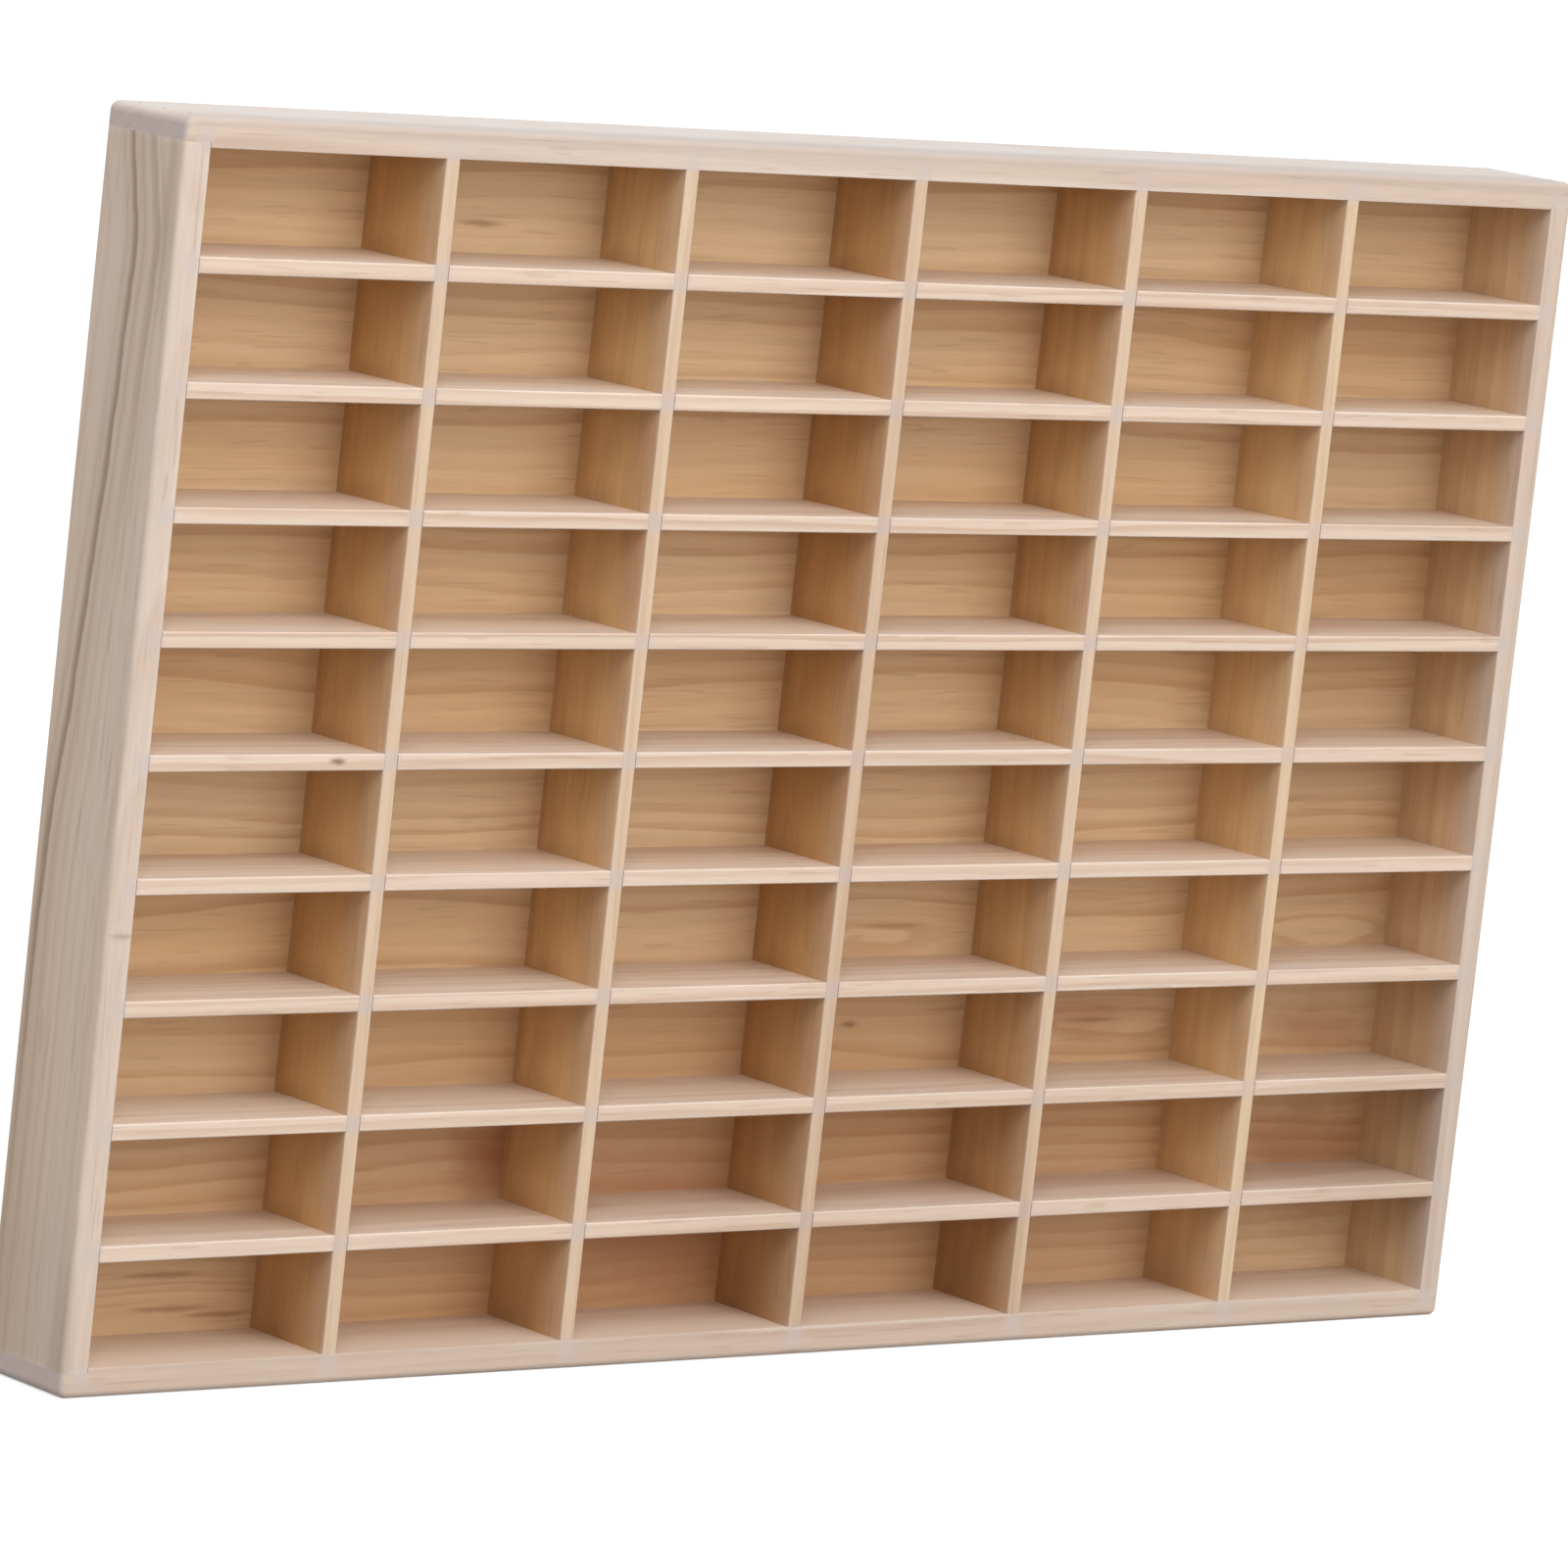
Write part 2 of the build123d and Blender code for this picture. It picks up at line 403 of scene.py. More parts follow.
def make_dust_and_sheen():
    """Pale sawdust on what faces up, with a painted sheen that makes up-facing faces paler and greyer.
    """
    tree, given, result = node_tree("dust", "ShaderNodeTree", [("Place", VECTOR)], [("Dust", FLOAT)])
    w = Wiring(tree)
    up = w.split(w.normal())[2]
    uneven = w.rise(w.noise(given.outputs["Place"], (30, 45, 30), 4.0, 0.6), 0.3, 0.7, 0.6, 1.0)
    w.put_out(result, dust=w.product(w.rise(up, 0.5, 0.95), uneven))
    return tree


def make_patch():
    """A soft-edged stretched patch round a centre, for stains, knots, streaks and painted shade."""
    tree, given, result = node_tree(
        "patch", "ShaderNodeTree",
        [("Place", VECTOR), ("Centre", VECTOR), ("Size", VECTOR, (10 * MM, 10 * MM, 10 * MM)),
         ("Ragged", FLOAT, 0.5)],
        [("Mask", FLOAT)])
    w = Wiring(tree)
    away = w.vector("SUBTRACT", given.outputs["Place"], given.outputs["Centre"]).outputs[0]
    scaled = w.vector("DIVIDE", away, given.outputs["Size"]).outputs[0]
    reach = w.vector("LENGTH", scaled).outputs["Value"]
    rough = w.math("SUBTRACT", w.noise(scaled, (1.6, 1.6, 1.6), 4.0, 0.6), 0.5)
    edge = w.math("ADD", reach, w.product(rough, given.outputs["Ragged"]))
    w.put_out(result, mask=w.rise(edge, 0.1, 1.0, 1.0, 0.0))
    return tree


def make_heart_line():
    """One strong dark line that wanders down a side board, with fainter ones beside it. Bend is
    how far in metres the rings have to follow it."""
    tree, given, result = node_tree(
        "heart_line", "ShaderNodeTree", [("Place", VECTOR)], [("Line", FLOAT), ("Bend", FLOAT)])
    w = Wiring(tree)
    _, y, z = w.split(given.outputs["Place"])
    down = w.math("DIVIDE", w.math("SUBTRACT", TOP, z), TOP)
    from_back = w.math("DIVIDE", w.math("SUBTRACT", BACK, y), BACK - FRONT)
    curve = w.node("ShaderNodeFloatCurve", {"Value": down})
    line = curve.mapping.curves[0]
    line.points[0].location, line.points[1].location = HEART_LINE[0], HEART_LINE[-1]
    for spot in HEART_LINE[1:-1]:
        line.points.new(*spot)
    curve.mapping.update()
    shake = w.math("SUBTRACT", w.noise(given.outputs["Place"], (60, 60, 60), 3.0), 0.5)
    off = w.math("ADD", w.math("SUBTRACT", from_back, curve.outputs[0]), w.product(shake, 0.05))
    fine = w.product(w.rise(off, -0.1, 0.0), w.rise(off, 0.0, 0.035, 1.0, 0.0))
    first = w.product(fine, w.rise(down, 0.6, 0.9, 1.0, 0.5))
    off_beside = w.math("SUBTRACT", off, 0.27)
    beside = w.product(w.rise(off_beside, -0.12, 0.0), w.rise(off_beside, 0.0, 0.04, 0.5, 0.0))
    second = w.product(beside, w.rise(down, 0.15, 0.5, 1.0, 0.0))
    wide = w.rise(w.math("ABSOLUTE", off), 0.0, 0.32, 0.22, 0.0)
    w.put_out(result, line=w.math("MAXIMUM", w.math("MAXIMUM", first, second), wide),
              bend=w.product(curve.outputs[0], BACK - FRONT))
    return tree


def make_compartments():
    """Where a place lies in the grid of compartments: whether shelf and divider cross there, how
    deep in a corner it is, whether it is within the frame, and how far inside from the front."""
    tree, given, result = node_tree(
        "compartments", "ShaderNodeTree",
        [("Place", VECTOR), ("First", VECTOR), ("Pitch", VECTOR), ("Reach", FLOAT, 8 * MM)],
        [("Crossing", FLOAT), ("Corner", FLOAT), ("Within", FLOAT), ("Inside", FLOAT)])
    w = Wiring(tree)
    place, pitch = given.outputs["Place"], given.outputs["Pitch"]
    from_first = w.vector("SUBTRACT", place, given.outputs["First"]).outputs[0]
    pitches = w.vector("DIVIDE", from_first, pitch).outputs[0]
    whole = w.vector("FLOOR", w.vector("ADD", pitches, (0.5, 0.5, 0.5)).outputs[0]).outputs[0]
    off = w.vector("MULTIPLY", w.vector("SUBTRACT", pitches, whole).outputs[0], pitch).outputs[0]
    x, _, z = w.split(w.vector("ABSOLUTE", off).outputs[0])
    across, y, up = w.split(place)
    deep = w.math("SUBTRACT", y, FRONT)
    ragged = w.math("SUBTRACT", w.noise(place, (400, 400, 400), 3.0), 0.5)
    far = w.math("MAXIMUM", w.math("MAXIMUM", x, z), deep)
    far = w.math("ADD", far, w.product(ragged, 2 * MM))
    crossing = w.rise(far, 1.2 * MM, 5 * MM, 1.0, 0.0)

    from_centre = w.math("ABSOLUTE", w.math("SUBTRACT", up, (INNER_FLOOR + INNER_CEILING) / 2))
    beyond_end = w.math("SUBTRACT", from_centre, (INNER_CEILING - INNER_FLOOR) / 2)
    beyond_side = w.math("SUBTRACT", w.math("ABSOLUTE", across), INNER_SIDE)
    beyond = w.math("MAXIMUM", beyond_side, beyond_end)
    within = w.rise(beyond, 0.4 * MM, 0.8 * MM, 1.0, 0.0)
    inside = w.product(within, w.rise(deep, 2 * MM, 14 * MM))

    # Corner: how near a place is to where two of divider, shelf and panel meet, which the woods darken
    # as painted shade
    from_divider = w.math("SUBTRACT", x, BOARD / 2)
    from_shelf = w.math("SUBTRACT", z, BOARD / 2)
    from_panel = w.math("SUBTRACT", PANEL_FACE, y)
    corner = w.middle_of(from_divider, from_shelf, from_panel)
    corner = w.math("ADD", corner, w.product(ragged, 3 * MM))
    corner = w.rise(corner, 0.0, given.outputs["Reach"], 1.0, 0.0)
    in_front = w.product(w.rise(deep, 6 * MM, 24 * MM), w.rise(from_panel, -2 * MM, -0.5 * MM))
    w.put_out(result, crossing=crossing, corner=w.product(corner, w.product(within, in_front)),
              within=within, inside=inside)
    return tree


def make_pine(rings, fibres, sanding, dust):
    """Bare sanded softwood: rings, fibres, sanded edges and front, painted light fading in from the
    front, sawdust with a painted sheen on what faces up, and duller end grain.
    """
    tree, given, result = node_tree(
        "bare_pine", "ShaderNodeTree",
        [("Early", COLOUR), ("Late", COLOUR), ("Warm", COLOUR), ("Front", COLOUR),
         ("Spacing", FLOAT, 3 * MM), ("Waver", FLOAT, 1.0), ("Swell", FLOAT, 0.0),
         ("Contrast", FLOAT, 1.0), ("Rub", FLOAT, 0.3), ("Reach", FLOAT, 1.5 * MM),
         ("Planed", FLOAT, 0.7), ("Dust", FLOAT, 0.3), ("Dust Colour", COLOUR, shade(228, 222, 218))],
        [("Color", COLOUR), ("Height", FLOAT), ("Roughness", FLOAT)])
    w = Wiring(tree)
    look = given.outputs
    grain, place, half, along = (w.read(name) for name in ("grain", "place", "half", "along"))
    tone = w.read("tone", "Fac")
    ring = w.place(rings, grain=grain, spacing=look["Spacing"], waver=look["Waver"],
                   swell=look["Swell"])["Late Wood"]
    fibre = w.place(fibres, grain=grain)
    sanded = w.place(sanding, place=place, half=half, reach=look["Reach"])

    cloud = w.rise(w.noise(grain, (3.0, 22, 22), 3.0), 0.35, 0.7)
    warmth = w.math("ADD", w.product(cloud, 0.55), w.product(tone, 0.45))
    colour = w.tinted(warmth, look["Early"], look["Warm"])
    colour = w.tinted(tone, colour, shade(243, 242, 242))
    # A paler planed front, with painted light fading in from it
    colour = w.blend(w.product(sanded["Front"], look["Planed"]), colour, look["Front"])

    end = w.math("ABSOLUTE", w.vector("DOT_PRODUCT", w.normal(), along).outputs["Value"])
    end = w.rise(end, 0.45, 0.9)
    weight = w.product(look["Contrast"], w.rise(end, 0.0, 1.0, 1.0, 0.55))
    late = w.math("MULTIPLY", ring, weight, clamp=True)
    colour = w.tinted(late, colour, look["Late"])
    streak = w.rise(fibre["Streak"], 0.32, 0.68, 0.94, 1.04)
    streaks = w.node("ShaderNodeCombineXYZ", dict.fromkeys((X, Y, Z), streak)).outputs[0]
    colour = w.blend(1.0, colour, streaks, "MULTIPLY")
    colour = w.blend(w.product(fibre["Fleck"], 0.2), colour, shade(158, 122, 90))

    dull = w.blend(1.0, colour, shade(232, 226, 234), "MULTIPLY")
    colour = w.blend(end, colour, w.blend(0.5, dull, shade(214, 204, 203)))
    pale = w.blend(1.0, colour, shade(252, 247, 242), "SCREEN")
    colour = w.blend(w.product(sanded["Rubbed"], w.product(look["Rub"], 0.3)), colour, pale)
    # Pale sawdust with a painted sheen on what faces up
    dust_and_sheen_share = w.product(w.place(dust, place=place)["Dust"], look["Dust"])
    colour = w.blend(dust_and_sheen_share, colour, look["Dust Colour"])

    height = w.math("ADD", w.product(ring, 0.5), w.product(fibre["Streak"], 0.8))
    rough = w.rise(w.math("SUBTRACT", fibre["Streak"], w.product(late, 0.3)), 0.1, 0.7, 0.5, 0.72)
    w.put_out(result, color=colour, height=height, roughness=rough)
    return tree


# Materials

def new_material(name):
    """A material with its Principled shader, and the wiring to feed it."""
    material = bpy.data.materials.new(name)
    material.use_nodes = True
    return material, Wiring(material.node_tree), material.node_tree.nodes["Principled BSDF"]


def finish_surface(w, shader, colour, roughness, height, depth):
    """Feeds colour, roughness and a bump of this depth in metres to the shader."""
    bump = w.node("ShaderNodeBump", {"Height": height, "Distance": depth, "Strength": 0.6})
    w.tree.links.new(colour, shader.inputs["Base Color"])
    w.tree.links.new(roughness, shader.inputs["Roughness"])
    w.tree.links.new(bump.outputs[0], shader.inputs["Normal"])


def patches(w, place, spots):
    """Masks of stretched patches, each given as centre and size in millimetres and raggedness."""
    for centre, size, ragged in spots:
        yield w.place(PATCH, place=place, centre=[value * MM for value in centre],
                      size=[value * MM for value in size], ragged=ragged)["Mask"]


def wood(name, relief, dust, grime, marks=(), swells=(), lines=None, inside=None, **look):
    """A wood finish. The relief of its grain is in metres. Marks are patches of another colour, some
    the wood's own and some painted shade: (colour, strength, centre, size, ragged). Swells make the
    rings close round a spot: (rings more, centre, size, ragged). The corners of the compartments get
    a painted shade of the given strength, lines is a group that draws a dark grain line, and inside
    is a tint for those faces of the frame that look into the compartments, a painted warm shade;
    where those faces look up, painted light makes them paler instead. Faces that look up also get
    pale sawdust with a painted sheen, less of it inside the frame."""
    material, w, shader = new_material(name)
    place = w.object_place()
    swell = 0.0
    if lines:
        drawn = w.place(lines, place=place)
        swell = w.math("DIVIDE", drawn["Bend"], look["spacing"])
    for (rings_more, *_), mask in zip(swells, patches(w, place, [spot[1:] for spot in swells])):
        swell = w.math("ADD", w.product(mask, rings_more), swell)
    cell = w.place(COMPARTMENTS, place=place, first=(DIVIDER_PLACES[0], 0, SHELF_LEVELS[0]),
                   pitch=(DIVIDER_PITCH, 1, SHELF_PITCH))
    if inside:
        # Less of the sawdust and painted sheen on faces inside the frame
        dust = w.rise(cell["Within"], 0.0, 1.0, dust, DUST_AND_SHEEN_WITHIN)
    pine = w.place(PINE, swell=swell, dust=dust, **look)
    colour = pine["Color"]
    if lines:
        colour = w.blend(w.product(drawn["Line"], 0.8), colour, shade(146, 120, 100))
    if inside:
        # Painted light and shade inside the frame: faces that look up painted paler, the others tinted
        # as a warm painted shade
        up = w.rise(w.split(w.normal())[2], 0.5, 0.95)
        floor = w.blend(w.product(cell["Within"], 0.6), colour, shade(238, 214, 192))
        colour = w.blend(up, w.tinted(cell["Inside"], colour, inside), floor)
    # Painted shade in the corners of the compartments
    colour = w.tinted(w.product(cell["Corner"], grime), colour, shade(206, 196, 186))
    colour = w.blend(w.product(cell["Crossing"], 0.6), colour, shade(212, 196, 189))
    # Marks: the wood's own stains, knots and streaks, and painted shade
    for (tint, strength, *_), mask in zip(marks, patches(w, place, [spot[2:] for spot in marks])):
        colour = w.blend(w.product(mask, strength), colour, shade(*tint))
    finish_surface(w, shader, colour, pine["Roughness"], pine["Height"], relief)
    return material


def brad_steel():
    """Bare steel wire, duller in places."""
    material, w, shader = new_material("brad_steel_bare")
    place = w.object_place()
    dull = w.rise(w.noise(place, (900, 900, 900), 3.0), 0.4, 0.65)
    colour = w.blend(dull, shade(176, 176, 180), shade(122, 112, 102))
    rough = w.rise(dull, 0.0, 1.0, 0.32, 0.6)
    finish_surface(w, shader, colour, rough, w.noise(place, (2500, 2500, 2500)), 0.02 * MM)
    shader.inputs["Metallic"].default_value = 1.0
    return material


# Boards

def box_mesh(low, high):
    """A closed box between two corners."""
    bm = bmesh.new()
    bmesh.ops.create_cube(bm, size=1.0)
    for vert in bm.verts:
        vert.co = [high[i] if vert.co[i] > 0 else low[i] for i in range(3)]
    return bm


def edges_at(bm, *planes):
    """Edges that lie in every one of these (axis, value) planes."""
    return [edge for edge in bm.edges
            if all(abs(vert.co[axis] - value) < 1e-6 for vert in edge.verts for axis, value in planes)]


def ease(bm, edges, radius, steps):
    """Rounds these edges over to a radius."""
    bmesh.ops.bevel(bm, geom=edges, offset=radius, segments=steps, profile=0.5, affect="EDGES")


def lay_grain(piece, along, pith, start, tone):
    """Says how the board was cut from the tree: which way its fibres run, and where the pith
    lies from its middle. The wood's colours follow this and the board's own box."""
    mesh = piece.data
    low = Vector(map(min, zip(*(vert.co for vert in mesh.vertices))))
    high = Vector(map(max, zip(*(vert.co for vert in mesh.vertices))))
    centre, half = (low + high) / 2, (high - low) / 2
    wide, thick = {X: (Y, Z), Z: (Y, X)}[along] if half.y > half[2 - along] else (2 - along, Y)
    values = {"grain": [], "place": []}
    for vert in mesh.vertices:
        at = vert.co - centre
        values["grain"] += [at[along] + start, at[wide] - pith[0], at[thick] - pith[1]]
        values["place"] += list(at)
    values["half"] = list(half) * len(mesh.vertices)
    values["along"] = [float(axis == along) for axis in range(3)] * len(mesh.vertices)
    for name, numbers in values.items():
        mesh.attributes.new(name, "FLOAT_VECTOR", "POINT").data.foreach_set("vector", numbers)
    tones = mesh.attributes.new("tone", "FLOAT", "POINT")
    tones.data.foreach_set("value", [tone] * len(mesh.vertices))


def board_piece(name, bm, cuts, wood, slot, nodes, along, pith, start, tone):
    """Finishes one board: cuts its joints, lays its grain and stands it in for its nodes."""
    piece = mesh_piece(name, bm)
    for cut in cuts:
        add_row(piece, CUT_ROW, wood=wood, **cut)
    settle(piece)
    lay_grain(piece, along, pith, start, tone)
    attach(piece, "root")
    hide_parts(*nodes)
    return piece


def notch(first, size, count=1, step=(0, 0, 0)):
    """The numbers of one row of notches."""
    return {"first": first, "size": size, "count": count, "step": step}


def back_recess():
    """The rebate round the back for the panel."""
    wide = 2 * (INNER_SIDE + BACK_REBATE)
    tall = INNER_CEILING - INNER_FLOOR + 2 * BACK_REBATE
    deep = BACK + PAST - PANEL_FACE
    return notch((0, PANEL_FACE + deep / 2, (INNER_FLOOR + INNER_CEILING) / 2), (wide, deep, tall))


def housings(first, step, count, size):
    """Stopped housings: grooves that stop short of the front, cut in from the back."""
    start = FRONT + HOUSING_STOP
    deep = PANEL_FACE + PAST - start
    return notch((first[0], start + deep / 2, first[1]), (size[0], deep, size[1]), count, step)


def corner_brad_rows():
    """The rows of brads at the four corners, as (x, z, up)."""
    x = (INNER_SIDE + OUTER_SIDE) / 2
    return [(side * x, level, up) for side in (-1, 1) for level, up in ((0.0, -1), (TOP, 1))]


def panel_brad_rows(y):
    """Rows of brads round the panel at this depth: first place, step, count, whether heads lie
    level."""
    inset = BACK_REBATE / 2
    first_column = -INNER_SIDE + (DIVIDER_PLACES[0] - BOARD / 2 + INNER_SIDE) / 2
    lowest = (SHELF_LEVELS[-1] - BOARD / 2 + INNER_FLOOR) / 2
    rows = [((first_column, y, z), (DIVIDER_PITCH, 0, 0), COLUMNS, True)
            for z in (INNER_CEILING + inset, INNER_FLOOR - inset)]
    count = (ROWS - 1) // ROWS_PER_BACK_BRAD + 1
    return rows + [((x, y, lowest), (0, 0, ROWS_PER_BACK_BRAD * SHELF_PITCH), count, False)
                   for x in (-INNER_SIDE - inset, INNER_SIDE + inset)]


def end_board(name, node, outer, inner, corner_round, wood, **cut_of):
    """Top or bottom board of the frame."""
    bm = box_mesh((-OUTER_SIDE, FRONT, min(outer, inner)), (OUTER_SIDE, BACK, max(outer, inner)))
    corners = [e for x in (-OUTER_SIDE, OUTER_SIDE) for e in edges_at(bm, (X, x), (Z, outer))]
    ease(bm, corners, corner_round, CORNER_STEPS)
    inner_rims = [e for y in (FRONT, BACK) for e in edges_at(bm, (Y, y), (Z, inner))]
    rims = [e for y in (FRONT, BACK) for e in edges_at(bm, (Y, y)) if e not in inner_rims]
    ease(bm, rims, RIM_ROUND, RIM_STEPS)
    ease(bm, edges_at(bm, (Z, inner), (Y, FRONT)), ARRIS, ARRIS_STEPS)

    way = 1 if outer > inner else -1
    tall = CORNER_REBATE + PAST
    rebate = notch((-OUTER_SIDE, 0, inner + way * (CORNER_REBATE - tall / 2)),
                   (2 * (OUTER_SIDE - INNER_SIDE), 2 * (BACK - FRONT), tall),
                   2, (2 * OUTER_SIDE, 0, 0))
    grooves = housings((DIVIDER_PLACES[0], inner), (DIVIDER_PITCH, 0, 0), DIVIDERS,
                       (BOARD + SLIP, 2 * HOUSING_DEPTH))
    holes = [notch((x, FIRST_BRAD, outer), (HOLE_NARROW, HOLE_WIDE, 2 * BRAD_SINK),
                   BRADS_PER_CORNER, (0, BRAD_STEP, 0))
             for x, level, up in corner_brad_rows() if abs(level - outer) < MM]
    cuts = [rebate, back_recess(), grooves, *holes]
    board_piece(name, bm, cuts, wood, "frame_wood", [node], X, **cut_of)


def side_board(name, node, side, wood, **cut_of):
    """Left or right board of the frame."""
    inner, outer = side * INNER_SIDE, side * OUTER_SIDE
    bm = box_mesh((min(inner, outer), FRONT, INNER_FLOOR - CORNER_REBATE),
                  (max(inner, outer), BACK, INNER_CEILING + CORNER_REBATE))
    rims = edges_at(bm, (X, outer), (Y, FRONT)) + edges_at(bm, (X, outer), (Y, BACK))
    ease(bm, rims, RIM_ROUND, RIM_STEPS)
    ease(bm, edges_at(bm, (X, inner), (Y, FRONT)), ARRIS, ARRIS_STEPS)
    grooves = housings((inner, SHELF_LEVELS[-1]), (0, 0, SHELF_PITCH), SHELVES,
                       (2 * HOUSING_DEPTH, BOARD + SLIP))
    board_piece(name, bm, [back_recess(), grooves], wood, "frame_wood", [node], Z, **cut_of)


def back_board(name, node, wood, **cut_of):
    """Thin panel in the back rebate, with the recesses of its brads."""
    bm = box_mesh(*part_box(node))
    ease(bm, list(bm.edges), SOFT_ARRIS, 1)
    holes = []
    for first, step, count, level in panel_brad_rows(BACK):
        wide, tall = (HOLE_WIDE, HOLE_NARROW) if level else (HOLE_NARROW, HOLE_WIDE)
        holes.append(notch(first, (wide, 2 * BRAD_SINK, tall), count, step))
    board_piece(name, bm, holes, wood, "back_panel_wood", [node], X, **cut_of)


def grid_board(name, node, along, places, pitch, slot_at_front, wood, **cut_of):
    """Shelf or divider: tongued ends, eased front edges and a row of halving slots."""
    low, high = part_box(node)
    across = 2 - along
    bm = box_mesh((low.x, FRONT, low.z), (high.x, PANEL_FACE, high.z))
    front_edges = [e for face in (low, high)
                   for e in edges_at(bm, (Y, FRONT), (across, face[across]))]
    ease(bm, front_edges, ARRIS, GRID_STEPS)

    def spot(lengthwise, y):
        at = [(low[i] + high[i]) / 2 for i in range(3)]
        at[along], at[Y] = lengthwise, y
        return tuple(at)

    def size(lengthwise, deep):
        sizes = [4 * BOARD] * 3
        sizes[along], sizes[Y] = lengthwise, deep
        return tuple(sizes)

    def step(lengthwise):
        return tuple(lengthwise if axis == along else 0 for axis in range(3))

    half_way = (FRONT + PANEL_FACE) / 2
    start, end = ((FRONT - PAST, half_way + SLIP / 2) if slot_at_front
                  else (half_way - SLIP / 2, PANEL_FACE + PAST))
    slots = notch(spot(min(places), (start + end) / 2), size(BOARD + SLIP, end - start),
                  len(places), step(pitch))
    shoulder = FRONT + HOUSING_STOP + BOARD / 2
    tongue = HOUSING_DEPTH - SLIP
    shoulders = notch(spot(low[along], (FRONT - PAST + shoulder) / 2),
                      size(2 * tongue, shoulder - FRONT + PAST), 2, step(high[along] - low[along]))
    board_piece(name, bm, [slots, shoulders], wood, "grid_wood", [node], along, **cut_of)


# Brads

def single_brad(length):
    """One brad of flat wire that points down, the top of its T head at the origin."""
    side = [(BRAD_HEAD, 0.0), (BRAD_HEAD, -BRAD_CROWN), (BRAD_WIRE, -BRAD_CROWN),
            (BRAD_WIRE, BRAD_POINT - length)]
    outline = side + [(0.0, -length)] + [(-x, z) for x, z in reversed(side)]
    bm = bmesh.new()
    face = bm.faces.new([bm.verts.new((x, -BRAD_THICK, z)) for x, z in outline])
    pulled = bmesh.ops.extrude_face_region(bm, geom=[face])["geom"]
    bmesh.ops.translate(bm, vec=(0, 2 * BRAD_THICK, 0),
                        verts=[part for part in pulled if isinstance(part, bmesh.types.BMVert)])
    bmesh.ops.recalc_face_normals(bm, faces=bm.faces)
    ease(bm, edges_at(bm, (Z, 0.0)), BRAD_ARRIS, ARRIS_STEPS)
    return mesh_piece("single_brad", bm)


def brad_set(name, node, length, rows, steel):
    """A whole set of brads as one piece."""
    pattern = single_brad(length)
    piece = mesh_piece(name, bmesh.new())
    for number, (first, step, count, aim) in enumerate(rows):
        add_row(piece, BRAD_ROW, brad=pattern, count=count, first=first, step=step, aim=aim,
                wander=BRAD_WANDER, seed=number, steel=steel)
    settle(piece)
    bpy.data.objects.remove(pattern)
    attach(piece, "root")
    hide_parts(node)


def all_brads(steel):
    """The brads at the corners and those round the panel."""
    rows = [((x, FIRST_BRAD, level - up * BRAD_SINK), (0, BRAD_STEP, 0), BRADS_PER_CORNER,
             (0 if up > 0 else math.pi, 0, math.pi / 2)) for x, level, up in corner_brad_rows()]
    brad_set("corner_brad_set", "corner_brads", CORNER_BRAD_LENGTH, rows, steel)
    rows = [(first, step, count, (-math.pi / 2, 0 if level else math.pi / 2, 0))
            for first, step, count, level in panel_brad_rows(BACK - BRAD_SINK)]
    brad_set("panel_brad_set", "back_panel_brads", BACK_BRAD_LENGTH, rows, steel)


# Studio

CAMERA_PLACE = (-1.84359, -2.14565, 0.57888)
CAMERA_TURN = (81.8557, -6.2446, -39.5962)
CAMERA_LENS = 210.914
ROOM_LIGHT = 0.75
ROOM_LIGHT_IN_FRONT = 0.15

# The paper floor: as the eye sees it, as the light meets it, and how much it glows to the eye
FLOOR_REACH = 20
PAPER_SEEN = 124
PAPER_LIT = (202, 207)
PAPER_GLOW = 0.58

# Soft lamps round the case: degrees round from the front, degrees up, metres away, width, power
LAMPS = {
    "front_softbox": (12, 21, 4.0, 2.8, 45),
    "left_softbox": (-36, 45, 2.1, 1.2, 14.5),
}


def seen_directly(w):
    """1 where the camera looks straight, or by way of a mirror or glass."""
    ray = w.node("ShaderNodeLightPath").outputs
    mirrored = w.math("MAXIMUM", ray["Is Glossy Ray"], ray["Is Transmission Ray"])
    return w.math("MAXIMUM", ray["Is Camera Ray"], mirrored)


def studio_floor():
    """Wide sheet of paper: white to the eye, with a soft shadow, and grey to the light."""
    bm = bmesh.new()
    bmesh.ops.create_grid(bm, x_segments=24, y_segments=24, size=FLOOR_REACH)
    floor = mesh_piece("studio_floor", bm)
    material, w, paper = new_material("studio_floor_paper")
    paper.inputs["Roughness"].default_value = 0.9
    paper.inputs["Specular IOR Level"].default_value = 0.1
    seen = seen_directly(w)
    lit = w.blend(w.noise(w.object_place(), (3, 3, 3)), *map(grey, PAPER_LIT))
    w.tree.links.new(w.blend(seen, grey(PAPER_SEEN), lit), paper.inputs["Base Color"])
    glow = w.node("ShaderNodeEmission",
                  {"Color": grey(255), "Strength": w.product(seen, PAPER_GLOW)})
    both = w.node("ShaderNodeAddShader", {0: paper.outputs[0], 1: glow.outputs[0]})
    w.tree.links.new(both.outputs[0], w.tree.nodes["Material Output"].inputs["Surface"])
    floor.data.materials.append(material)


def studio_room():
    """Light from a pale room, brighter in front, that is plain white to the eye."""
    world = bpy.data.worlds.new("studio_room")
    world.use_nodes = True
    w = Wiring(world.node_tree)
    _, away, _ = w.split(w.node("ShaderNodeTexCoord").outputs["Generated"])
    room = w.rise(away, 0.2, -0.9, ROOM_LIGHT, ROOM_LIGHT + ROOM_LIGHT_IN_FRONT)
    seen = seen_directly(w)
    light = w.math("ADD", w.product(room, w.math("SUBTRACT", 1.0, seen)), seen)
    backdrop = w.tree.nodes["Background"]
    w.tree.links.new(light, backdrop.inputs["Strength"])
    backdrop.inputs["Color"].default_value = grey(255)
    bpy.context.scene.world = world


